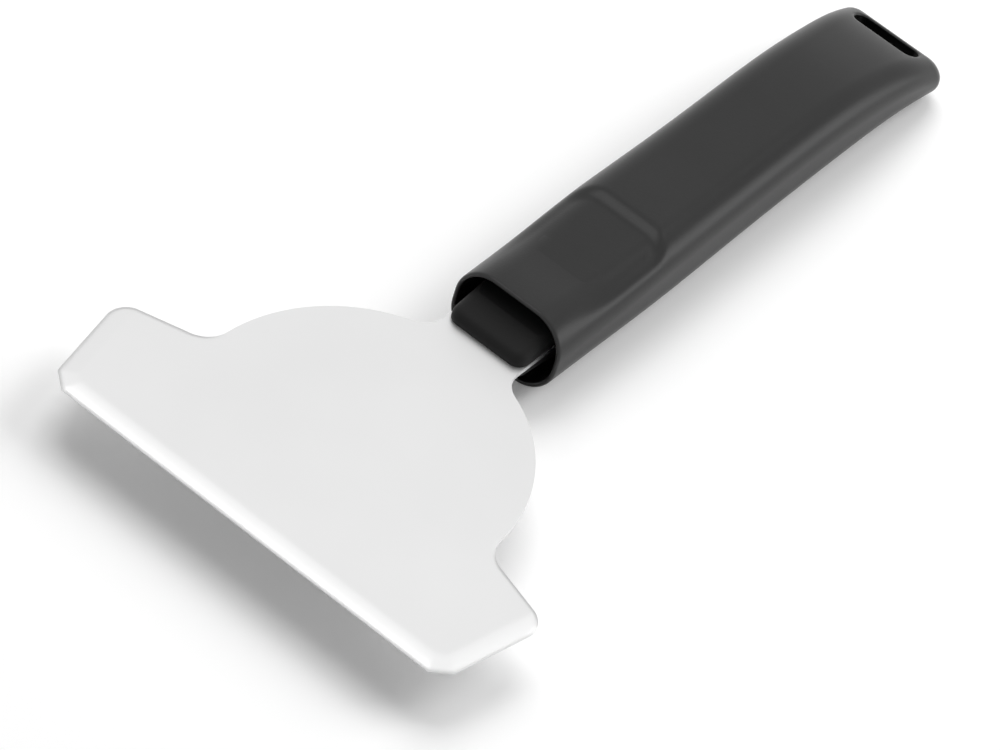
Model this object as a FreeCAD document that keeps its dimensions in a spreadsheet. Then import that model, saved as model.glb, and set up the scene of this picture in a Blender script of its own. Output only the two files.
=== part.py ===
import FreeCAD, Part
import math
import os

import Sketcher
from FreeCAD import Rotation, Vector

# Grill scraper: a wide ground blade of stainless sheet, a moulded core that is
# clamped over the blade's neck, and a hollow-mouthed moulded grip.
# The working frame of every body has X across the tool, Y from the blade's
# front edge towards the hanging slot, and Z up from the blade's top face.
# Each body is then placed with the tool's middle over the origin and the
# grip's underside on Z = 0.

doc = FreeCAD.newDocument("grill_scraper")

# Driving dimensions, millimetres and degrees
SIZES = {
    # blade
    "front_width": 125.0,
    "wing_flare": 11.3,
    "wing_depth": 31.0,
    "wing_slope": 16.2,
    "front_corner": 4.0,
    "rear_corner_radius": 5.4,
    "shoulder_place": 39.9,
    "shoulder_radius": 44.2,
    "shoulder_fillet": 8.0,
    "neck_width": 24.4,
    "neck_fillet": 7.0,
    "sheet_thickness": 1.2,
    "bevel_width": 5.0,
    "edge_land": 0.5,
    # tang
    "neck_depth": 8.0,
    "tang_width": 19.0,
    "tang_depth": 88.0,
    "key_diameter": 8.0,
    "key_depth": 40.0,
    "key_pitch": 28.0,
    "key_clearance": 0.1,
    # core
    "core_width": 24.0,
    "core_height": 4.6,
    "nose_reach": 8.8,
    "nose_height": 3.2,
    "nose_corner": 3.4,
    "nose_round": 2.8,
    "core_end_wall": 3.0,
    # grip, along its length
    "mouth_place": 96.7,
    "mouth_slant": 7.5,
    "grip_length": 159.3,
    "thumb_place": 25.0,
    "heel_place": 52.0,
    "waist_place": 82.0,
    "tail_reach": 47.3,
    # grip, across
    "mouth_width": 33.4,
    "heel_width": 33.0,
    "waist_width": 32.0,
    "palm_width": 32.0,
    "tail_width": 32.8,
    # grip, heights above and below the blade's top face
    "mouth_top": 10.1,
    "thumb_top": 10.3,
    "heel_top": 10.2,
    "waist_top": 10.0,
    "palm_top": 10.0,
    "rest_depth": 12.8,
    "heel_base": 12.3,
    "waist_base": 11.8,
    "palm_base": 11.2,
    "tail_base": 13.0,
    # grip, the fall of its tail
    "tail_drop": 12.6,
    "tail_curve": 2.2,
    "tail_rise": 0.8,
    # grip, rounding of its long corners and of its end
    "mouth_corner": 10.0,
    "heel_corner": 8.2,
    "waist_corner": 8.0,
    "palm_corner": 8.0,
    "tail_corner": 5.4,
    "tail_round": 4.0,
    # hollow mouth
    "wall": 1.3,
    "hollow_depth": 24.0,
    # thumb scoop
    "scoop_width": 21.0,
    "scoop_drop": 0.9,
    "scoop_start": 14.0,
    "scoop_reach": 43.0,
    "scoop_ramp": 4.0,
    "scoop_lead": 12.0,
    "scoop_corner": 4.0,
    # hanging slot
    "slot_length": 20.0,
    "slot_width": 5.0,
    "slot_web": 4.2,
    "slot_corner": 2.4,
}

sheet = doc.addObject("Spreadsheet::Sheet", "sizes")
for row, (alias, value) in enumerate(SIZES.items(), start=1):
    sheet.set(f"A{row}", alias.replace("_", " "))
    sheet.set(f"B{row}", str(value))
    sheet.setAlias(f"B{row}", alias)
doc.recompute()


def size(alias):
    """The value that the sheet holds under this alias."""
    return float(sheet.get(alias))


def new_body(name):
    """A body placed with the tool's middle over the origin, its base on Z = 0."""
    body = doc.addObject("PartDesign::Body", name)
    body.Label = name
    body.setExpression("Placement.Base.y", "-(sizes.mouth_place + sizes.grip_length) / 2")
    body.setExpression("Placement.Base.z", "sizes.rest_depth")
    return body


def plane(body, role):
    """One of the body's own origin planes."""
    return next(item for item in body.Origin.OriginFeatures if item.Role == role)


def new_sketch(body, name, role):
    """A sketch on one of the body's origin planes."""
    sketch = body.newObject("Sketcher::SketchObject", name)
    sketch.AttachmentSupport = [(plane(body, role), "")]
    sketch.MapMode = "FlatFace"
    return sketch


def dimension(sketch, name, constraint, expression):
    """Add a named dimension and bind it to the sheet."""
    index = sketch.addConstraint(constraint)
    sketch.renameConstraint(index, name)
    sketch.setExpression(f"Constraints.{name}", expression)


def join(sketch, first, second):
    """The end of one element meets the start of the next."""
    sketch.addConstraint(Sketcher.Constraint("Coincident", first, 2, second, 1))


def smooth(sketch, first, first_end, second, second_end):
    """Two elements meet end to end with one tangent."""
    sketch.addConstraint(
        Sketcher.Constraint("Tangent", first, first_end, second, second_end)
    )


def add_line(sketch, start, end):
    return sketch.addGeometry(Part.LineSegment(Vector(*start, 0), Vector(*end, 0)))


def add_arc(sketch, centre, radius, start, end):
    circle = Part.Circle(Vector(*centre, 0), Vector(0, 0, 1), radius)
    return sketch.addGeometry(
        Part.ArcOfCircle(circle, math.radians(start), math.radians(end))
    )


def polygon(sketch, points):
    """Closed run of lines through points, each an (x, y) pair of expressions.

    The expressions are read from the sheet; each corner is then held by one
    dimension across and one up, so the outline follows every size in them.
    """
    corners = [(evaluate(x), evaluate(y)) for x, y in points]
    count = len(corners)
    lines = [
        add_line(sketch, corners[k], corners[(k + 1) % count]) for k in range(count)
    ]
    for k in range(count):
        join(sketch, lines[k], lines[(k + 1) % count])
    for k, (x, y) in enumerate(points):
        across = Sketcher.Constraint("DistanceX", -1, 1, lines[k], 1, corners[k][0])
        up = Sketcher.Constraint("DistanceY", -1, 1, lines[k], 1, corners[k][1])
        dimension(sketch, f"across_{k}", across, x)
        dimension(sketch, f"up_{k}", up, y)
    return lines


def evaluate(expression):
    """The value of an expression in the sheet's aliases."""
    result = sheet.evalExpression(expression.replace("sizes.", ""))
    return float(getattr(result, "Value", result))


def edge_names(shape, test):
    """Names of the edges that pass the test."""
    return [f"Edge{k}" for k, edge in enumerate(shape.Edges, start=1) if test(edge)]


def round_edges(body, base, name, test, radius):
    """Fillet the edges of a feature that pass the test."""
    doc.recompute()
    names = edge_names(base.Shape, test)
    fillet = body.newObject("PartDesign::Fillet", name)
    fillet.Base = (base, names)
    fillet.setExpression("Radius", radius)
    body.Tip = fillet
    return fillet


def cut_through(body, sketch, name):
    """Pocket a sketch through the whole body, both ways from its plane."""
    pocket = body.newObject("PartDesign::Pocket", name)
    pocket.Profile = sketch
    pocket.Type = "ThroughAll"
    pocket.Midplane = True
    return pocket


def cut_depth(body, sketch, name, depth):
    """Pocket a sketch to a depth below its plane."""
    pocket = body.newObject("PartDesign::Pocket", name)
    pocket.Profile = sketch
    pocket.Type = "Length"
    pocket.setExpression("Length", depth)
    return pocket


# Number of keying holes, the slack in a test of place, how far a cut runs on
# past the solid, how many times its own size a bevel is cut along, and how
# many times the scoop's depth its slopes go on to, clear of the grip's top
KEYS = 2
NEAR = 0.01
PAST = 5
BEVEL_RUN = 4
SCOOP_OVER = 2

NECK_END = "(sizes.mouth_place + sizes.neck_depth)"
TANG_END = "(sizes.mouth_place + sizes.tang_depth)"
CORE_END = "(sizes.mouth_place + sizes.tang_depth + sizes.core_end_wall)"
GRIP_END = "(sizes.mouth_place + sizes.grip_length)"
WING_TIP = "(sizes.front_width / 2 + sizes.wing_depth * tan(sizes.wing_flare))"
BEVEL_DROP = "(sizes.sheet_thickness - sizes.edge_land)"


def pad_down(body, sketch, name, thickness):
    """Pad a sketch from its plane down, against the plane's normal."""
    pad = body.newObject("PartDesign::Pad", name)
    pad.Profile = sketch
    pad.setExpression("Length", thickness)
    pad.Reversed = True
    return pad


def bevel(body, name, edge_point, turn, reach):
    """Grind one edge of the blade: a wedge cut along a line in the XY plane.

    edge_point is the X of a point on the edge where Y is 0, and turn is the
    angle of the edge's outward normal about the Z axis, counted from +X.
    """
    sketch = new_sketch(body, f"{name}_profile", "XZ_Plane")
    sketch.AttachmentOffset = FreeCAD.Placement(Vector(), Rotation(Vector(0, 1, 0), 0))
    sketch.setExpression("AttachmentOffset.Base.x", edge_point)
    sketch.setExpression("AttachmentOffset.Rotation.Axis.y", "1")
    sketch.setExpression("AttachmentOffset.Rotation.Angle", turn)
    polygon(
        sketch,
        [
            ("-sizes.bevel_width", "0"),
            ("0", f"-{BEVEL_DROP}"),
            (f"{PAST}", f"-{BEVEL_DROP}"),
            (f"{PAST}", f"{PAST}"),
            ("-sizes.bevel_width", f"{PAST}"),
        ],
    )
    cut = body.newObject("PartDesign::Pocket", name)
    cut.Profile = sketch
    cut.Midplane = True
    cut.setExpression("Length", reach)
    return cut


def make_blade():
    """Flared blade with a round shoulder, a neck and a tang with two keying holes."""
    body = new_body("blade")
    wings = new_sketch(body, "wings_outline", "XY_Plane")
    cut_x = "(sizes.front_width / 2 + sizes.front_corner * tan(sizes.wing_flare))"
    start_x = "(sizes.front_width / 2 - sizes.front_corner)"
    peak = f"(sizes.wing_depth + {WING_TIP} * tan(sizes.wing_slope))"
    polygon(
        wings,
        [
            (f"-{start_x}", "0"),
            (start_x, "0"),
            (cut_x, "sizes.front_corner"),
            (WING_TIP, "sizes.wing_depth"),
            ("0", peak),
            (f"-{WING_TIP}", "sizes.wing_depth"),
            (f"-{cut_x}", "sizes.front_corner"),
        ],
    )
    pad_down(body, wings, "wings", "sizes.sheet_thickness")

    shoulder = new_sketch(body, "shoulder_outline", "XY_Plane")
    radius = size("shoulder_radius")
    middle = size("shoulder_place")
    low = size("wing_depth") / 2
    dome = add_arc(shoulder, (0, middle), radius, 0, 180)
    left = add_line(shoulder, (-radius, middle), (-radius, low))
    foot = add_line(shoulder, (-radius, low), (radius, low))
    right = add_line(shoulder, (radius, low), (radius, middle))
    smooth(shoulder, dome, 2, left, 1)
    join(shoulder, left, foot)
    join(shoulder, foot, right)
    smooth(shoulder, right, 2, dome, 1)
    shoulder.addConstraint(Sketcher.Constraint("Vertical", left))
    shoulder.addConstraint(Sketcher.Constraint("Horizontal", foot))
    shoulder.addConstraint(Sketcher.Constraint("Vertical", right))
    shoulder.addConstraint(Sketcher.Constraint("PointOnObject", dome, 3, -2))
    place = Sketcher.Constraint("DistanceY", -1, 1, dome, 3, middle)
    dimension(shoulder, "place", place, "sizes.shoulder_place")
    reach = Sketcher.Constraint("DistanceY", -1, 1, foot, 1, low)
    dimension(shoulder, "foot", reach, "sizes.wing_depth / 2")
    curve = Sketcher.Constraint("Radius", dome, radius)
    dimension(shoulder, "radius", curve, "sizes.shoulder_radius")
    pad_down(body, shoulder, "shoulder", "sizes.sheet_thickness")

    neck = new_sketch(body, "neck_outline", "XY_Plane")
    polygon(
        neck,
        [
            ("-sizes.neck_width / 2", "sizes.shoulder_place"),
            ("sizes.neck_width / 2", "sizes.shoulder_place"),
            ("sizes.neck_width / 2", NECK_END),
            ("sizes.tang_width / 2", NECK_END),
            ("sizes.tang_width / 2", TANG_END),
            ("-sizes.tang_width / 2", TANG_END),
            ("-sizes.tang_width / 2", NECK_END),
            ("-sizes.neck_width / 2", NECK_END),
        ],
    )
    last = pad_down(body, neck, "neck", "sizes.sheet_thickness")

    def upright(edge):
        ends = edge.Vertexes
        return len(ends) == 2 and Vector(0, 0, 1).cross(ends[0].Point - ends[1].Point).Length < NEAR

    def at_tip(edge):
        place = edge.CenterOfMass
        return upright(edge) and abs(abs(place.x) - evaluate(WING_TIP)) < NEAR

    def at_neck(edge):
        place = edge.CenterOfMass
        on_neck = abs(abs(place.x) - size("neck_width") / 2) < NEAR
        return upright(edge) and on_neck and place.y < size("mouth_place")

    def at_wing_root(edge):
        place = edge.CenterOfMass
        outside_neck = size("neck_width") < abs(place.x) < size("front_width") / 2
        return upright(edge) and outside_neck and place.y > size("wing_depth")

    last = round_edges(body, last, "rear_corners", at_tip, "sizes.rear_corner_radius")
    last = round_edges(body, last, "wing_roots", at_wing_root, "sizes.shoulder_fillet")
    last = round_edges(body, last, "neck_roots", at_neck, "sizes.neck_fillet")

    holes = new_sketch(body, "keying_holes_outline", "XY_Plane")
    for k in range(KEYS):
        along = f"sizes.mouth_place + sizes.key_depth + {k} * sizes.key_pitch"
        add_hole(holes, f"key_{k}", along, "sizes.key_diameter / 2")
    cut_through(body, holes, "keying_holes")

    front = new_sketch(body, "front_bevel_profile", "YZ_Plane")
    polygon(
        front,
        [
            ("sizes.bevel_width", "0"),
            ("0", f"-{BEVEL_DROP}"),
            (f"-{PAST}", f"-{BEVEL_DROP}"),
            (f"-{PAST}", f"{PAST}"),
            ("sizes.bevel_width", f"{PAST}"),
        ],
    )
    cut_through(body, front, "front_bevel")
    end = bevel(
        body, "end_bevel", "sizes.front_width / 2", "-sizes.wing_flare",
        f"{BEVEL_RUN} * sizes.wing_depth",
    )
    corner = bevel(
        body, "corner_bevel", "sizes.front_width / 2 - sizes.front_corner",
        "atan(1 / (1 + tan(sizes.wing_flare))) - 90 deg",
        f"{BEVEL_RUN} * sizes.bevel_width",
    )
    doc.recompute()
    other_side = body.newObject("PartDesign::Mirrored", "other_side")
    other_side.Originals = [end, corner]
    other_side.MirrorPlane = (plane(body, "YZ_Plane"), [""])
    body.Tip = other_side
    return body


def add_hole(sketch, name, along, radius):
    """A circle on the middle line of the tool."""
    place = evaluate(along)
    circle = Part.Circle(Vector(0, place, 0), Vector(0, 0, 1), evaluate(radius))
    hole = sketch.addGeometry(circle)
    sketch.addConstraint(Sketcher.Constraint("PointOnObject", hole, 3, -2))
    along_y = Sketcher.Constraint("DistanceY", -1, 1, hole, 3, place)
    dimension(sketch, f"{name}_place", along_y, along)
    dimension(sketch, f"{name}_radius", Sketcher.Constraint("Radius", hole, evaluate(radius)), radius)


def section(body, name, place, width, top, base, corner):
    """A rounded rectangle across the tool, at a place along it."""
    sketch = new_sketch(body, name, "XZ_Plane")
    sketch.setExpression("AttachmentOffset.Base.z", f"-({place})")
    rounded_box(sketch, f"-({width}) / 2", f"({width}) / 2", f"-({base})", top, corner)
    return sketch


def rounded_box(sketch, left, right, low, high, corner):
    """A rectangle with rounded corners, each side and the radius bound to the sheet."""
    x0, x1, y0, y1 = (evaluate(side) for side in (left, right, low, high))
    radius = evaluate(corner)
    arcs = [
        add_arc(sketch, (x1 - radius, y1 - radius), radius, 0, 90),
        add_arc(sketch, (x0 + radius, y1 - radius), radius, 90, 180),
        add_arc(sketch, (x0 + radius, y0 + radius), radius, 180, 270),
        add_arc(sketch, (x1 - radius, y0 + radius), radius, 270, 360),
    ]
    lines = [
        add_line(sketch, (x1 - radius, y1), (x0 + radius, y1)),
        add_line(sketch, (x0, y1 - radius), (x0, y0 + radius)),
        add_line(sketch, (x0 + radius, y0), (x1 - radius, y0)),
        add_line(sketch, (x1, y0 + radius), (x1, y1 - radius)),
    ]
    for k in range(4):
        smooth(sketch, arcs[k], 2, lines[k], 1)
        smooth(sketch, lines[k], 2, arcs[(k + 1) % 4], 1)
    for k in (0, 2):
        sketch.addConstraint(Sketcher.Constraint("Horizontal", lines[k]))
        sketch.addConstraint(Sketcher.Constraint("Vertical", lines[k + 1]))
    for k in range(1, 4):
        sketch.addConstraint(Sketcher.Constraint("Equal", arcs[0], arcs[k]))
    rule = Sketcher.Constraint
    dimension(sketch, "radius", rule("Radius", arcs[0], radius), corner)
    dimension(sketch, "high", rule("DistanceY", -1, 1, lines[0], 1, y1), high)
    dimension(sketch, "left", rule("DistanceX", -1, 1, lines[1], 1, x0), left)
    dimension(sketch, "low", rule("DistanceY", -1, 1, lines[2], 1, y0), low)
    dimension(sketch, "right", rule("DistanceX", -1, 1, lines[3], 1, x1), right)


def loft(body, kind, name, sketches):
    """A loft through the sketches, added to the body or cut from it."""
    feature = body.newObject(kind, name)
    feature.Profile = sketches[0]
    feature.Sections = sketches[1:]
    return feature


def make_core():
    """Moulded core over and under the blade's neck, with a rounded nose."""
    body = new_body("core")
    nose = "sizes.mouth_place - sizes.nose_reach"
    profile = new_sketch(body, "core_side", "YZ_Plane")
    polygon(
        profile,
        [
            (nose, "-sizes.nose_height - sizes.sheet_thickness"),
            ("sizes.mouth_place", "-sizes.core_height - sizes.sheet_thickness"),
            (CORE_END, "-sizes.core_height - sizes.sheet_thickness"),
            (CORE_END, "sizes.core_height"),
            ("sizes.mouth_place", "sizes.core_height"),
            (nose, "sizes.nose_height"),
        ],
    )
    bar = body.newObject("PartDesign::Pad", "core_bar")
    bar.Profile = profile
    bar.Midplane = True
    bar.setExpression("Length", "sizes.core_width")

    def at_nose(edge):
        place = edge.CenterOfMass
        return abs(place.y - evaluate(nose)) < NEAR and abs(place.x) > NEAR

    def nose_rim(edge):
        place = edge.CenterOfMass
        near = place.y < evaluate(nose) + size("nose_corner")
        off_middle = abs(place.z + size("sheet_thickness") / 2)
        return near and off_middle > size("nose_height") / 2

    last = round_edges(body, bar, "nose_corners", at_nose, "sizes.nose_corner")
    last = round_edges(body, last, "nose_rounds", nose_rim, "sizes.nose_round")

    seat = new_sketch(body, "blade_seat_outline", "XY_Plane")
    polygon(
        seat,
        [
            ("-sizes.neck_width", f"{nose} - {PAST}"),
            ("sizes.neck_width", f"{nose} - {PAST}"),
            ("sizes.neck_width", NECK_END),
            ("sizes.tang_width / 2", NECK_END),
            ("sizes.tang_width / 2", TANG_END),
            ("-sizes.tang_width / 2", TANG_END),
            ("-sizes.tang_width / 2", NECK_END),
            ("-sizes.neck_width", NECK_END),
        ],
    )
    cut_depth(body, seat, "blade_seat", "sizes.sheet_thickness")
    keys = new_sketch(body, "keys_outline", "XY_Plane")
    for k in range(KEYS):
        along = f"sizes.mouth_place + sizes.key_depth + {k} * sizes.key_pitch"
        add_hole(keys, f"key_{k}", along, "sizes.key_diameter / 2 - sizes.key_clearance")
    pad = pad_down(body, keys, "keys", "sizes.sheet_thickness")
    body.Tip = pad
    return body


# Spans of the drooping tail, and spans of the rounding at its end
TAIL_STEPS = 8
ROUND_STEPS = 4


def barrel_section(body, name, place, base):
    """A section of the straight part, with the sizes that carry its name."""
    return section(
        body, f"{name}_section", place, f"sizes.{name}_width",
        f"sizes.{name}_top", base, f"sizes.{name}_corner",
    )


def mouth_section(body):
    """The section at the mouth, which leans back and keeps its level heights."""
    lean = "cos(sizes.mouth_slant)"
    sketch = section(
        body, "mouth_section", "sizes.mouth_place", "sizes.mouth_width",
        f"sizes.mouth_top / {lean}", f"sizes.rest_depth / {lean}", "sizes.mouth_corner",
    )
    tilt = Rotation(Vector(-1, 0, 0), size("mouth_slant"))
    sketch.AttachmentOffset = FreeCAD.Placement(Vector(0, 0, -size("mouth_place")), tilt)
    sketch.setExpression("AttachmentOffset.Rotation.Angle", "sizes.mouth_slant")
    return sketch


def tail_section(body, name, ahead, inset):
    """A section of the tail, a distance ahead of the grip's end, drawn in by an inset.

    The top falls by a power of the way along. The underside goes on rising,
    then turns down by a cube of the way to meet the end.
    """
    way = f"(1 - ({ahead}) / sizes.tail_reach)"
    turn = "(sizes.tail_base - sizes.palm_base + sizes.tail_rise)"
    return section(
        body, name,
        f"{GRIP_END} - ({ahead})",
        f"sizes.palm_width + (sizes.tail_width - sizes.palm_width) * {way} - 2 * ({inset})",
        f"sizes.palm_top - sizes.tail_drop * {way} ^ sizes.tail_curve - ({inset})",
        f"sizes.palm_base - sizes.tail_rise * {way} + {turn} * {way} ^ 3 - ({inset})",
        f"sizes.palm_corner + (sizes.tail_corner - sizes.palm_corner) * {way} ^ 2 - ({inset})",
    )


def grip_sections(body):
    """Sections of the grip from its mouth to its end, the first one slanted."""
    sections = [
        mouth_section(body),
        section(
            body, "thumb_section", "sizes.mouth_place + sizes.thumb_place",
            "sizes.mouth_width", "sizes.thumb_top", "sizes.rest_depth", "sizes.mouth_corner",
        ),
        barrel_section(
            body, "heel", "sizes.mouth_place + sizes.heel_place", "sizes.heel_base"
        ),
        barrel_section(
            body, "waist", "sizes.mouth_place + sizes.waist_place", "sizes.waist_base"
        ),
    ]
    for step in range(TAIL_STEPS + 1):
        run = f"(sizes.tail_reach - sizes.tail_round) * {step} / {TAIL_STEPS}"
        name = f"tail_section_{step}"
        sections.append(tail_section(body, name, f"sizes.tail_reach - {run}", "0"))
    for step in range(1, ROUND_STEPS + 1):
        turn = f"{90 * step / ROUND_STEPS}"
        ahead = f"sizes.tail_round * (1 - sin({turn}))"
        inset = f"sizes.tail_round * (1 - cos({turn}))"
        sections.append(tail_section(body, f"end_section_{step}", ahead, inset))
    return sections


def make_grip():
    """Hollow-mouthed grip with a thumb scoop, a drooping tail and a hanging slot."""
    body = new_body("grip")
    sections = grip_sections(body)
    outside = loft(body, "PartDesign::AdditiveLoft", "outside", sections[::-1])
    outside.Ruled = True

    scoop_floor = "(sizes.mouth_top - sizes.scoop_drop)"
    rise = f"(sizes.thumb_top - {scoop_floor})"
    start = "sizes.mouth_place + sizes.scoop_start"
    reach = "sizes.mouth_place + sizes.scoop_reach"
    lower = new_sketch(body, "scoop_floor", "XY_Plane")
    lower.setExpression("AttachmentOffset.Base.z", scoop_floor)
    rounded_box(
        lower, "-sizes.scoop_width / 2", "sizes.scoop_width / 2",
        start, reach, "sizes.scoop_corner",
    )
    upper = new_sketch(body, "scoop_rim", "XY_Plane")
    upper.setExpression("AttachmentOffset.Base.z", f"{scoop_floor} + {SCOOP_OVER} * {rise}")
    rounded_box(
        upper, f"-sizes.scoop_width / 2 - {SCOOP_OVER} * sizes.scoop_ramp",
        f"sizes.scoop_width / 2 + {SCOOP_OVER} * sizes.scoop_ramp",
        f"{start} - {SCOOP_OVER} * sizes.scoop_lead",
        f"{reach} + {SCOOP_OVER} * sizes.scoop_ramp",
        f"sizes.scoop_corner + {SCOOP_OVER} * sizes.scoop_ramp",
    )
    loft(body, "PartDesign::SubtractiveLoft", "thumb_scoop", [lower, upper])

    hollow = section(
        body, "hollow_outline", "sizes.mouth_place + sizes.hollow_depth",
        "sizes.mouth_width - 2 * sizes.wall", "sizes.mouth_top - sizes.wall",
        "sizes.rest_depth - sizes.wall", "sizes.mouth_corner - sizes.wall",
    )
    cut_depth(body, hollow, "hollow", f"sizes.hollow_depth + {PAST}")
    body.Tip.Reversed = True

    socket = new_sketch(body, "socket_profile", "YZ_Plane")
    polygon(
        socket,
        [
            ("sizes.mouth_place", "-sizes.core_height - sizes.sheet_thickness"),
            (CORE_END, "-sizes.core_height - sizes.sheet_thickness"),
            (CORE_END, "sizes.core_height"),
            ("sizes.mouth_place", "sizes.core_height"),
        ],
    )
    cut = body.newObject("PartDesign::Pocket", "socket")
    cut.Profile = socket
    cut.Midplane = True
    cut.setExpression("Length", "sizes.core_width")

    slot = new_sketch(body, "slot_outline", "XY_Plane")
    far = f"{GRIP_END} - sizes.slot_web"
    rounded_box(
        slot, "-sizes.slot_length / 2", "sizes.slot_length / 2",
        f"{far} - sizes.slot_width", far, "sizes.slot_corner",
    )
    last = cut_through(body, slot, "hanging_slot")
    body.Tip = last
    return body


blade = make_blade()
core = make_core()
grip = make_grip()
doc.recompute()

for item in doc.Objects:
    if "Invalid" in item.State or "Error" in item.State:
        raise RuntimeError(f"{item.Name} did not recompute: {item.getStatusString()}")
os.makedirs("parts", exist_ok=True)
for body in (blade, core, grip):
    shape = body.Shape
    if shape.isNull() or not shape.isValid() or len(shape.Solids) != 1:
        raise RuntimeError(f"{body.Label} is not one valid solid")
    print(body.Label, shape.Volume, shape.BoundBox)
    shape.exportStep(f"parts/{body.Label}.step")
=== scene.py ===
# %% [markdown]
# # A grill scraper, dressed for its picture
# The scraper is a wide steel blade in a hollow-mouthed moulded grip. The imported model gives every
# solid its place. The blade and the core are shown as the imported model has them, and the grip gets
# a finer skin. This lesson makes that skin, gives every piece its finish, and sets up the floor,
# the lights and the camera.

import bmesh
import bpy
import numpy as np
from mathutils import Matrix, Vector


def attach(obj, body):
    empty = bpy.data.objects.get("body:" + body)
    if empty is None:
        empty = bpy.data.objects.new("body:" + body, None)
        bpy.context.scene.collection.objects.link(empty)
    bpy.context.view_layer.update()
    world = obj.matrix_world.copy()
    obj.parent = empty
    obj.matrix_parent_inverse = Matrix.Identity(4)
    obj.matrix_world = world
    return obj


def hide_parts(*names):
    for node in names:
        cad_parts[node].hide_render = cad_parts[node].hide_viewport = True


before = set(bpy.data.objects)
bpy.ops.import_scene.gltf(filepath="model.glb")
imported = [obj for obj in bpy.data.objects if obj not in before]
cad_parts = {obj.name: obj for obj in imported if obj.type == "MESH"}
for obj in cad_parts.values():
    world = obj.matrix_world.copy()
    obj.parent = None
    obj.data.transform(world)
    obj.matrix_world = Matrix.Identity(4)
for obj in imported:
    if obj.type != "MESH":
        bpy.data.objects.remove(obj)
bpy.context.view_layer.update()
print("solids:", sorted(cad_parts))

# %% [markdown]
# ## Measures
# The drawing of the scraper gives its sizes in millimetres, with Y counted from the blade's front
# edge and Z from the blade's top face. Blender works in metres, from the middle of the tool and the
# plane it stands on. One function turns the drawing's points into Blender's.

# %% Measures
MM = 0.001
MIDDLE = 128.0
REST_DEPTH = 12.8
MOUTH = 96.7
GRIP_LENGTH = 159.3


def to_metres(x, y, z):
    """Points of the drawing, in millimetres, as an array of points in Blender's metres."""
    x, y, z = np.broadcast_arrays(x, y, z)
    return np.stack((x, y - MIDDLE, z + REST_DEPTH), axis=-1) * MM


print("the grip starts at", to_metres(0, MOUTH, 0), "m and is", GRIP_LENGTH, "mm long")

# %% [markdown]
# ## A mesh from a grid of points
# Most pieces here are a closed ring that is carried along a path. numpy works out all the points at
# once, as an array of rings, and one function turns such an array into a mesh. It joins each ring
# to the next with four-sided faces and closes both ends with a fan to a middle point.

# %% A mesh from a grid of points


def ring_mesh(name, rings):
    """A closed mesh from an array of rings, shaped (rings, points around, 3).

    Face (i, j) joins points j and j+1 of ring i with the same points of ring i+1. The last point of
    a ring is joined to its first. Each end is a fan from the middle of its ring.
    """
    count, around, _ = rings.shape
    place = np.arange(count * around).reshape(count, around)
    after = np.roll(place, -1, axis=1)
    sides = np.stack((place[:-1], place[1:], after[1:], after[:-1]), axis=-1).reshape(-1, 4)
    ends = np.stack((rings[0].mean(axis=0), rings[-1].mean(axis=0)))
    first = np.full(around, count * around)
    start_fan = np.stack((place[0], after[0], first), axis=-1)
    end_fan = np.stack((after[-1], place[-1], first + 1), axis=-1)
    points = np.concatenate((rings.reshape(-1, 3), ends))
    mesh = bpy.data.meshes.new(name)
    faces = sides.tolist() + start_fan.tolist() + end_fan.tolist()
    mesh.from_pydata(points.tolist(), [], faces)
    mesh.update()
    return mesh


def show(name, mesh, sharp=35):
    """An object for a mesh, shaded smooth except at edges sharper than an angle in degrees."""
    thing = bpy.data.objects.new(name, mesh)
    bpy.context.scene.collection.objects.link(thing)
    mesh.shade_smooth()
    mesh.set_sharp_from_angle(angle=np.radians(sharp))
    return thing


square = np.array(((0, 0, 0), (1, 0, 0), (1, 1, 0), (0, 1, 0)), float)
trial = ring_mesh("trial", np.stack((square, square + (0, 0, 1))))
print("a box from two square rings:", len(trial.polygons), "faces")
bpy.data.meshes.remove(trial)

# %% [markdown]
# ## Smooth runs of sizes
# The grip's width and heights change gently along its length. A few measured stations are enough
# when a natural cubic spline runs through them, because such a spline has no kinks.

# %% Smooth runs of sizes


def spline(stations, values, at):
    """A natural cubic spline through (stations, values), worked out at any places.

    The curvatures at the stations solve one set of linear equations, which says that slopes agree
    where two pieces meet. Each piece is then a cubic of the way along it.
    """
    x, y = np.asarray(stations, float), np.asarray(values, float)
    gap = np.diff(x)
    slope = np.diff(y) / gap
    matrix = np.eye(len(x))
    right = np.zeros(len(x))
    inner = np.arange(1, len(x) - 1)
    matrix[inner, inner - 1] = gap[:-1]
    matrix[inner, inner] = 2 * (gap[:-1] + gap[1:])
    matrix[inner, inner + 1] = gap[1:]
    right[inner] = 6 * np.diff(slope)
    bend = np.linalg.solve(matrix, right)
    k = np.clip(np.searchsorted(x, at) - 1, 0, len(gap) - 1)
    a, b, h = x[k + 1] - at, at - x[k], gap[k]
    curve = (bend[k] * a**3 + bend[k + 1] * b**3) / (6 * h)
    return curve + (y[k] / h - bend[k] * h / 6) * a + (y[k + 1] / h - bend[k + 1] * h / 6) * b


def ease(low, high, value):
    """A smooth step, 0 below low and 1 above high: 3 t squared less 2 t cubed between them."""
    t = np.clip((value - low) / (high - low), 0, 1)
    return t * t * (3 - 2 * t)


print("a spline halfway between stations:", spline((0, 1, 2), (0, 1, 4), np.array((0.5, 1.5))))
print("a smooth step on its way:", ease(0, 1, np.array((0.0, 0.25, 0.5, 0.75, 1.0))))

# %% [markdown]
# ## The grip's skin
# The real grip is one moulding, with long rounded corners, a mouth whose rim is thin and rounded,
# and a tail that droops and ends in a quarter round. Every section is a rounded rectangle. So the
# skin can be one ring of directions, carried along a path that starts at the bottom of the core's
# socket, runs forward inside the hollow, turns over the rim and runs back along the outside.

# %% The ring of a rounded rectangle
CORNER_SPANS = 20
TOP_SPANS = 30
SIDE_SPANS = 6


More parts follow.
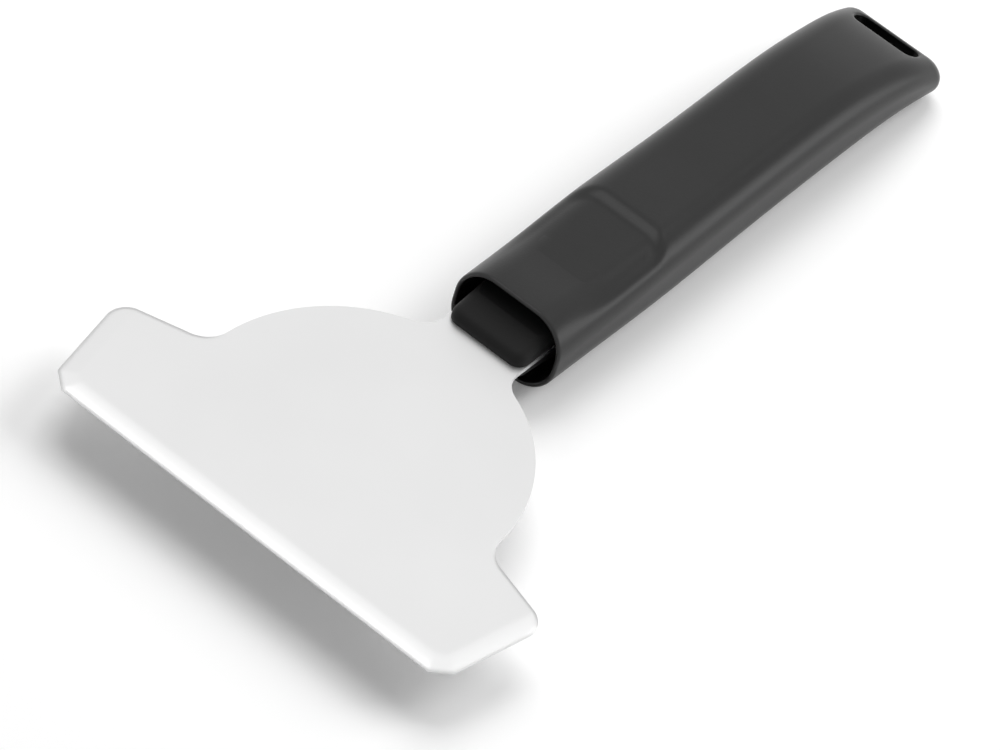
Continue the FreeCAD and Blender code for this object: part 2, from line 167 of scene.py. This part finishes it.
def rounded_ring():
    """Points around a rounded rectangle, as corner weights and outward directions.

    A point is (across * (half width - radius) + nx * radius, up * (...) + nz * radius). across and
    up run from 1 to -1 along the flats, and stay at 1 or -1 while the direction turns a corner.
    """
    turn = np.linspace(0, np.pi / 2, CORNER_SPANS, endpoint=False)
    top = np.linspace(1, -1, TOP_SPANS, endpoint=False)
    side = np.linspace(1, -1, SIDE_SPANS, endpoint=False)
    one, many = np.ones(CORNER_SPANS), np.ones(TOP_SPANS)
    few = np.ones(SIDE_SPANS)
    angle = [turn, many * np.pi / 2, turn + np.pi / 2, few * np.pi]
    angle += [turn + np.pi, many * 1.5 * np.pi, turn + 1.5 * np.pi, few * 0]
    across = np.concatenate((one, top, -one, -few, -one, -top, one, few))
    up = np.concatenate((one, many, one, side, -one, -many, -one, -side))
    angle = np.concatenate(angle)
    return across, up, np.cos(angle), np.sin(angle)


ACROSS, UP, NX, NZ = rounded_ring()
print("points around one section:", len(ACROSS))


def section(half, top, base, radius, inset=0):
    """Points (x, z) of rounded rectangles, one ring for each value in the arrays."""
    half, top, base, radius, inset = (
        np.atleast_1d(v)[:, None] for v in np.broadcast_arrays(half, top, base, radius, inset)
    )
    middle, reach = (top - base) / 2, (top + base) / 2 - radius
    x = ACROSS * (half - radius) + NX * (radius - inset)
    z = middle + UP * reach + NZ * (radius - inset)
    return x, z


# %% [markdown]
# ## How the grip swells and droops
# The real grip is widest at the mouth, gets a little slimmer in the middle, and its tail bends
# down. Ten stations along it hold the width, the heights of the top and the sole from the blade's
# top face, and the corner radius. Measured stations were chosen over one formula for the whole
# grip, because each of them can be read from a picture and put right by itself.

# %% Sizes of the outside along the grip
STATION = np.array((0, 20, 42, 65, 88.5, 112, 123.8, 135.6, 147.5, 159.3))
WIDTH = np.array((33.4, 33.4, 33.4, 32.5, 31.9, 32.0, 32.15, 32.3, 32.55, 32.8))
TOP = np.array((10.1, 9.9, 10.3, 10.0, 10.1, 10.0, 9.1, 7.1, 3.6, -2.6))
BASE = np.array((12.8, 12.8, 12.5, 12.1, 11.7, 11.2, 11.0, 11.0, 11.5, 12.7))
CORNER = np.array((10, 9.5, 8.7, 8.1, 8, 8, 7.9, 7.5, 6.6, 5.2))


def sizes_at(place):
    """Half width, top, base and corner radius of the outside at places along the grip."""
    half = spline(STATION, WIDTH, place) / 2
    top = spline(STATION, TOP, place)
    base = np.minimum(spline(STATION, BASE, place), REST_DEPTH)
    return half, top, base, spline(STATION, CORNER, place)


print("widest:", WIDTH.max(), "mm, thickest:", (TOP + BASE).max(), "mm")

# %% [markdown]
# ## The thumb scoop
# Behind the mouth the top is pressed in for the thumb, nearly as wide as the grip, and a short ramp
# leads out of it. The scoop could be cut with another solid, but a cut leaves hard rims. Here its
# depth is a function of the place on the top, and is taken off the skin's height. It fades out
# where the skin turns down to the sides. That keeps the grid even and the ramp smooth.

# %% The thumb scoop
SCOOP_HALF = 14.2
SCOOP_END = 44.3
SCOOP_CORNER = 7.0
SCOOP_DEPTH = 1.4
SCOOP_RAMP = 4.8
SCOOP_LEAD = (1, 26)
SCOOP_FACING = (0.2, 0.7)


def scoop(x, place):
    """Depth of the thumb scoop under the top, in millimetres.

    The scoop is a rounded rectangle that is open at the mouth. Its depth follows the distance to
    that outline through a smooth step, and fades out towards the mouth.
    """
    dx = np.abs(x) - (SCOOP_HALF - SCOOP_CORNER)
    dy = place - (SCOOP_END - SCOOP_CORNER)
    outside = np.hypot(np.maximum(dx, 0), np.maximum(dy, 0))
    distance = outside + np.minimum(np.maximum(dx, dy), 0) - SCOOP_CORNER
    inside = 1 - ease(-SCOOP_RAMP / 2, SCOOP_RAMP / 2, distance)
    return SCOOP_DEPTH * inside * ease(*SCOOP_LEAD, place)


print("the scoop's greatest depth:", scoop(0.0, np.arange(0.0, 50.0)).max().round(2), "mm")

# %% [markdown]
# ## From the socket over the rim to the tail
# All runs of rings are joined into one array: the core's socket, the hollow, the half round of the
# rim, the outside, and the quarter round of the tail. The mouth's face leans back, so the rings
# near it are sheared, and the lean fades out along the hollow.

# %% The grip's skin
SLANT = np.tan(np.radians(7.5))
WALL = 1.3
RIM = 0.8
TAIL_ROUND = 4.0
HOLLOW = 24.0
SOCKET = (12.0, 4.6, 5.8, 0.3)
SOCKET_END = 91.0


def rings_at(x, z, place, lean=1.0):
    """Rings as points. Near the mouth they lean back with height, as the mouth's face does."""
    place = np.atleast_1d(place)[:, None]
    shear = lean * z * SLANT * (1 - ease(0, HOLLOW - 2, place))
    return to_metres(x, MOUTH + place + shear, z)


def grip_skin():
    """All rings of the grip, from the socket's bottom, out over the rim, and back to the tail."""
    parts = []
    depths = np.array((SOCKET_END, 70, 50, 35, HOLLOW + 0.01))
    x, z = section(*SOCKET)
    parts.append(rings_at(np.repeat(x, len(depths), 0), np.repeat(z, len(depths), 0), depths, 0))
    half, top, base, radius = sizes_at(0.0)
    inner = (half - WALL, top - WALL, base - WALL, radius - WALL)
    depths = np.concatenate((np.linspace(HOLLOW, 3, 12), np.linspace(2.5, RIM, 4)))
    x, z = section(*inner)
    parts.append(rings_at(np.repeat(x, len(depths), 0), np.repeat(z, len(depths), 0), depths))
    turn = np.linspace(0, np.pi, 9)[1:-1]
    inset = WALL / 2 + (WALL / 2) * np.cos(turn)
    x, z = section(half, top, base, radius, inset)
    parts.append(rings_at(x, z, RIM - RIM * np.sin(turn)))
    near, far = np.linspace(RIM, 3, 5), np.arange(3.75, GRIP_LENGTH - TAIL_ROUND, 0.75)
    along = np.concatenate((near, far))
    x, z = section(*sizes_at(along))
    drop = scoop(x, along[:, None]) * ease(*SCOOP_FACING, NZ)
    parts.append(rings_at(x, z - drop, along))
    turn = np.linspace(0, np.pi / 2, 9)
    along = GRIP_LENGTH - TAIL_ROUND * (1 - np.sin(turn))
    x, z = section(*sizes_at(along), TAIL_ROUND * (1 - np.cos(turn)))
    parts.append(rings_at(x, z, along))
    return np.concatenate(parts)


grip = show("grip_shell", ring_mesh("grip_shell", grip_skin()))
print("grip skin:", len(grip.data.vertices), "points")

# %% [markdown]
# ## The hanging slot
# The slot is cut right through the tail, and its rims are rounded. A Boolean modifier cuts it. The
# cutter is a ring of a long oval that flares out near the top and the underside by a quarter
# round, so the cut leaves the rounded rims by itself. A cut like this can leave slivers thinner
# than a hair, so points that all but coincide are welded afterwards.

# %% The hanging slot
SLOT_HALF = 10.0
SLOT_WIDTH = 5.6
SLOT_RIM = 0.8
SLOT_WEB = 4.2
SLOT_PAST = 0.2
SLOT_ABOVE = 2.0
SLOT_PLACE = MOUTH + GRIP_LENGTH - SLOT_WEB - SLOT_WIDTH / 2
WELD = 0.005 * MM


def slot_cutter():
    """Rings of an oval from above the tail to below it.

    The oval is two half circles joined by straight runs. Its outline grows by
    rim * (1 - sqrt(1 - t squared)), where t is the way through the rim, and its height follows the
    skin's own height at each point, so the rim is as wide on the slope as on the flat.
    """
    turn = np.linspace(0, 2 * np.pi, 64, endpoint=False)
    radius = SLOT_WIDTH / 2
    way = np.linspace(0, 1, 7)
    grow = SLOT_RIM * (1 - np.sqrt(1 - way**2))
    wide = [SLOT_RIM + SLOT_PAST]
    grow = np.concatenate((wide, grow[::-1], grow, wide))[:, None]
    x = np.sign(np.cos(turn)) * (SLOT_HALF - radius) + (radius + grow) * np.cos(turn)
    y = SLOT_PLACE + (radius + grow) * np.sin(turn)
    _, top, base, _ = sizes_at(y - MOUTH)
    depth = np.concatenate(([-SLOT_ABOVE], SLOT_RIM * (1 - way[::-1])))[:, None]
    z = np.concatenate((top[: len(depth)] - depth, -base[len(depth) :] + depth[::-1]))
    return to_metres(x, y, z)


def weld(mesh, reach):
    """Joins the points of a mesh that lie closer together than reach, and drops empty faces."""
    work = bmesh.new()
    work.from_mesh(mesh)
    bmesh.ops.remove_doubles(work, verts=work.verts, dist=reach)
    bmesh.ops.dissolve_degenerate(work, edges=work.edges, dist=reach)
    work.to_mesh(mesh)
    work.free()


cutter = show("slot_cutter", ring_mesh("slot_cutter", slot_cutter()))
cut = grip.modifiers.new("hanging_slot", "BOOLEAN")
cut.operation = "DIFFERENCE"
cut.object = cutter
bpy.context.view_layer.update()
shaped = grip.evaluated_get(bpy.context.evaluated_depsgraph_get())
grip_mesh = bpy.data.meshes.new_from_object(shaped)
grip.modifiers.clear()
grip.data = grip_mesh
bpy.data.objects.remove(cutter)
weld(grip_mesh, WELD)
grip_mesh.set_sharp_from_angle(angle=np.radians(35))
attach(grip, "root")
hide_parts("grip")
print("grip with its slot:", len(grip_mesh.polygons), "faces")

# %% [markdown]
# ## Helpers for node materials
# A material in Blender is a small graph. Three helpers keep the graphs readable: one makes an empty
# surface material, one adds a node with its settings, and one joins two sockets.

# %% Helpers for node materials


def grey(value):
    """A colour of equal parts from an 8-bit screen grey, turned to linear light."""
    s = value / 255
    linear = s / 12.92 if s <= 0.04045 else ((s + 0.055) / 1.055) ** 2.4
    return (linear, linear, linear, 1)


def finish(name, **settings):
    """A material with a Principled shader. Settings go straight on the shader's own sockets."""
    material = bpy.data.materials.new(name)
    material.use_nodes = True
    shader = material.node_tree.nodes["Principled BSDF"]
    for socket, value in settings.items():
        shader.inputs[socket.replace("_", " ")].default_value = value
    return material, shader


def node(material, kind, inputs=None, **settings):
    """A node of one kind, with attributes from the settings and values for its inputs."""
    made = material.node_tree.nodes.new("ShaderNode" + kind)
    for key, value in settings.items():
        setattr(made, key, value)
    for key, value in (inputs or {}).items():
        made.inputs[key].default_value = value
    return made


def link(material, source, target):
    """Joins an output socket to an input socket."""
    material.node_tree.links.new(source, target)


print("screen grey 128 in linear light:", round(grey(128)[0], 3))

# %% [markdown]
# ## Noise for natural finishes
# No real surface has quite the same shade or polish all over. Noise on Object coordinates stays put
# on the piece, wherever it is moved. A MapRange node then turns it into the small range that a
# finish needs.

# %% Noise for natural finishes


def grain(material, scale, detail=4.0, stretch=(1, 1, 1)):
    """Noise on Object coordinates, stretched along the axes. Its factor runs from 0 to 1."""
    where = node(material, "TexCoord")
    mapping = node(material, "Mapping", {"Scale": stretch})
    noise = node(material, "TexNoise", {"Scale": scale, "Detail": detail})
    link(material, where.outputs["Object"], mapping.inputs["Vector"])
    link(material, mapping.outputs["Vector"], noise.inputs["Vector"])
    return noise.outputs["Fac"]


def spread(material, factor, low, high):
    """Turns a factor from 0 to 1 into a number from low to high."""
    ranged = node(material, "MapRange", {"To Min": low, "To Max": high})
    link(material, factor, ranged.inputs["Value"])
    return ranged.outputs["Result"]


# %% [markdown]
# ## Steel
# The blade is stainless sheet with a satin face. A satin finish scatters light a little, so the
# metal mirrors the room as a soft glow. Fine noise, drawn out along the tool, gives the rolled
# grain, and a slow noise varies how matt and how pale the face is. The bevels are ground and then
# polished, so their inner line is soft. A Bevel node turns the shading normals gently across that
# line. The sheared edges at the shoulder and the neck stay crisp, so the node fades out towards the
# grip.

# %% Steel
SOFT_EDGE = 2.0 * MM
GROUND_END = (-0.092, -0.084)
steel, shader = finish("satin_steel", Metallic=1.0)
lines = grain(steel, 900, 3, (1, 0.05, 1))
clouds = grain(steel, 25, 2)
link(steel, spread(steel, clouds, 0.36, 0.42), shader.inputs["Roughness"])
link(steel, spread(steel, clouds, grey(225)[0], grey(231)[0]), shader.inputs["Base Color"])
bump = node(steel, "Bump", {"Strength": 0.04, "Distance": 0.0002})
soft_edge = node(steel, "Bevel", {"Radius": SOFT_EDGE}, samples=8)
where = node(steel, "TexCoord")
parts = node(steel, "SeparateXYZ")
link(steel, where.outputs["Object"], parts.inputs["Vector"])
ground = node(steel, "MapRange", {"From Min": GROUND_END[0], "From Max": GROUND_END[1]})
link(steel, parts.outputs["Y"], ground.inputs["Value"])
facet = node(steel, "NewGeometry")
turned = node(steel, "Mix", data_type="VECTOR")
link(steel, ground.outputs["Result"], turned.inputs[0])
link(steel, soft_edge.outputs["Normal"], turned.inputs[4])
link(steel, facet.outputs["Normal"], turned.inputs[5])
link(steel, turned.outputs[1], bump.inputs["Normal"])
link(steel, lines, bump.inputs["Height"])
link(steel, bump.outputs["Normal"], shader.inputs["Normal"])
print("nodes in the steel:", len(steel.node_tree.nodes))

# %% [markdown]
# ## Moulded plastic
# The grip is a dark grey moulded plastic with a fine matt texture. The texture is a small bump of
# about half a millimetre. The roughness and the shade wander slowly, as they do where a mould is
# worn. The base is nearly black: most of what the eye sees is the pale room in the plastic's sheen.

# %% Moulded plastic


def moulded(name, shade, rough, shine):
    """Matt moulded plastic of one shade, with a fine texture and a wandering roughness."""
    material, shader = finish(name, Specular_IOR_Level=shine)
    fine = grain(material, 2200, 2)
    clouds = grain(material, 60, 3)
    link(material, spread(material, clouds, rough - 0.04, rough + 0.04), shader.inputs["Roughness"])
    pale = spread(material, clouds, grey(shade - 4)[0], grey(shade + 4)[0])
    link(material, pale, shader.inputs["Base Color"])
    bump = node(material, "Bump", {"Strength": 0.12, "Distance": 0.0002})
    link(material, fine, bump.inputs["Height"])
    link(material, bump.outputs["Normal"], shader.inputs["Normal"])
    return material


grip_plastic = moulded("grip_plastic", 18, 0.33, 0.39)
core_plastic = moulded("core_plastic", 24, 0.58, 0.16)


def dress(thing, material):
    """Gives all faces of an object one material."""
    if not thing.material_slots:
        thing.data.materials.append(material)
    for place in thing.material_slots:
        place.material = material


dress(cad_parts["blade"], steel)
dress(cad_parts["core"], core_plastic)
dress(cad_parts["grip"], grip_plastic)
dress(grip, grip_plastic)
print("dressed:", [thing.name for thing in (*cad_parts.values(), grip)])

# %% [markdown]
# ## Floor
# The scraper lies on a plain pale floor that keeps its soft shadow. The paper is almost white, and
# a little light of its own, seen only by the camera and in reflections, lifts it to white where
# nothing shades it. It lies a hair below the sole, so that the two faces don't share one plane.

# %% Floor
FLOOR_EDGE = 4.0
FLOOR_GAP = 0.05 * MM
FLOOR_LIFT = 0.09
floor_mesh = bpy.data.meshes.new("floor")
corner = np.array(((-1, -1, 0), (1, -1, 0), (1, 1, 0), (-1, 1, 0))) * FLOOR_EDGE - (0, 0, FLOOR_GAP)
floor_mesh.from_pydata(corner.tolist(), [], [(0, 1, 2, 3)])
floor = bpy.data.objects.new("floor", floor_mesh)
bpy.context.scene.collection.objects.link(floor)
paper, shader = finish("paper", Base_Color=(0.93, 0.93, 0.93, 1), Roughness=1.0)
shader.inputs["Specular IOR Level"].default_value = 0.0
shader.inputs["Emission Color"].default_value = (1, 1, 1, 1)
rays = node(paper, "LightPath")
seen = node(paper, "Math", operation="MAXIMUM")
link(paper, rays.outputs["Is Camera Ray"], seen.inputs[0])
link(paper, rays.outputs["Is Glossy Ray"], seen.inputs[1])
lift = node(paper, "Math", {1: FLOOR_LIFT}, operation="MULTIPLY")
link(paper, seen.outputs["Value"], lift.inputs[0])
link(paper, lift.outputs["Value"], shader.inputs["Emission Strength"])
floor_mesh.materials.append(paper)
print("floor:", 2 * FLOOR_EDGE, "m wide")

# %% [markdown]
# ## The room
# The steel mirrors the room, so the room must look white to the camera and in mirrors. As a source
# of light it is only about a quarter as strong, which leaves work for the lamps and depth for the
# shadows. The kind of ray that asks decides between the two strengths.

# %% The room
ROOM_LIGHT = 0.27
world = bpy.data.worlds.new("studio")
bpy.context.scene.world = world
world.use_nodes = True
background = world.node_tree.nodes["Background"]
background.inputs["Color"].default_value = (1, 1, 1, 1)
rays = node(world, "LightPath")
seen = node(world, "Math", operation="MAXIMUM")
link(world, rays.outputs["Is Camera Ray"], seen.inputs[0])
link(world, rays.outputs["Is Glossy Ray"], seen.inputs[1])
through = node(world, "Math", operation="MAXIMUM")
link(world, seen.outputs["Value"], through.inputs[0])
link(world, rays.outputs["Is Transmission Ray"], through.inputs[1])
link(world, spread(world, through.outputs["Value"], ROOM_LIGHT, 1), background.inputs["Strength"])
print("the room's strength as a light:", ROOM_LIGHT)

# %% [markdown]
# ## Lamps
# Two wide lamps stand behind, one on each side, so the shadows are soft. They fall in front of the
# blade, where both overlap, and to the right of the grip. The flat steel would mirror these lamps
# and burn out, so they light dull surfaces only. Three other lamps are only mirrored. One overhead
# picks out what leans towards the camera: the front bevel, the mouth's rim and the end of the thumb
# scoop. A weak one to its right is for the bevel on the blade's right end, and a large weak one low
# on the right draws the soft band along the grip's side. What a mirror shows of a lamp adds to the
# white room.

# %% Lamps


def softbox(name, place, size, watts, lights=True, mirrored=True):
    """A square lamp at a place, turned to face the scraper.

    A lamp can light dull surfaces, be mirrored in shiny ones, or both.
    """
    lamp = bpy.data.lights.new(name, "AREA")
    lamp.size = size
    lamp.energy = watts
    box = bpy.data.objects.new(name, lamp)
    bpy.context.scene.collection.objects.link(box)
    box.location = place
    box.rotation_euler = Vector(place).to_track_quat("Z", "Y").to_euler()
    box.visible_diffuse = lights
    box.visible_glossy = mirrored
    return box


softbox("left_key", (-1.44, 1.87, 2.70), 2.6, 91, mirrored=False)
softbox("right_key", (1.44, 2.60, 2.00), 2.0, 79, mirrored=False)
softbox("overhead", (-0.87, -0.35, 2.33), 1.0, 5.5, lights=False)
softbox("over_right", (0.37, 1.10, 2.20), 0.8, 1.5, lights=False)
softbox("side", (1.60, 1.18, 0.25), 1.3, 10, lights=False)

# %% [markdown]
# ## Camera
# The camera looks down on the scraper from its front right. It stands far off with a long lens, and
# is turned about its own axis, as the real scraper lies a little rolled.

# %% Camera
TURN, RISE, ROLL = np.radians((30.65, 46.6, 13.4))
LOOK_AT = np.array((9.49, -44.49, 12.8)) * MM
DISTANCE = 1695 * MM
back = np.array((np.sin(TURN) * np.cos(RISE), -np.cos(TURN) * np.cos(RISE), np.sin(RISE)))
right = np.array((np.cos(TURN), np.sin(TURN), 0))
above = np.cross(back, right)
side_axis = np.cos(ROLL) * right + np.sin(ROLL) * above
up_axis = np.cos(ROLL) * above - np.sin(ROLL) * right
lens = bpy.data.cameras.new("camera")
lens.lens = 252
lens.sensor_width = 36
lens.clip_start = 0.05
lens.clip_end = 50
camera = bpy.data.objects.new("camera", lens)
bpy.context.scene.collection.objects.link(camera)
axes = np.column_stack((side_axis, up_axis, back))
camera.matrix_world = Matrix.Translation(LOOK_AT + DISTANCE * back) @ Matrix(axes.tolist()).to_4x4()
bpy.context.scene.camera = camera
bpy.context.scene.view_settings.view_transform = "Standard"
print("camera:", lens.lens, "mm lens,", DISTANCE, "m away")
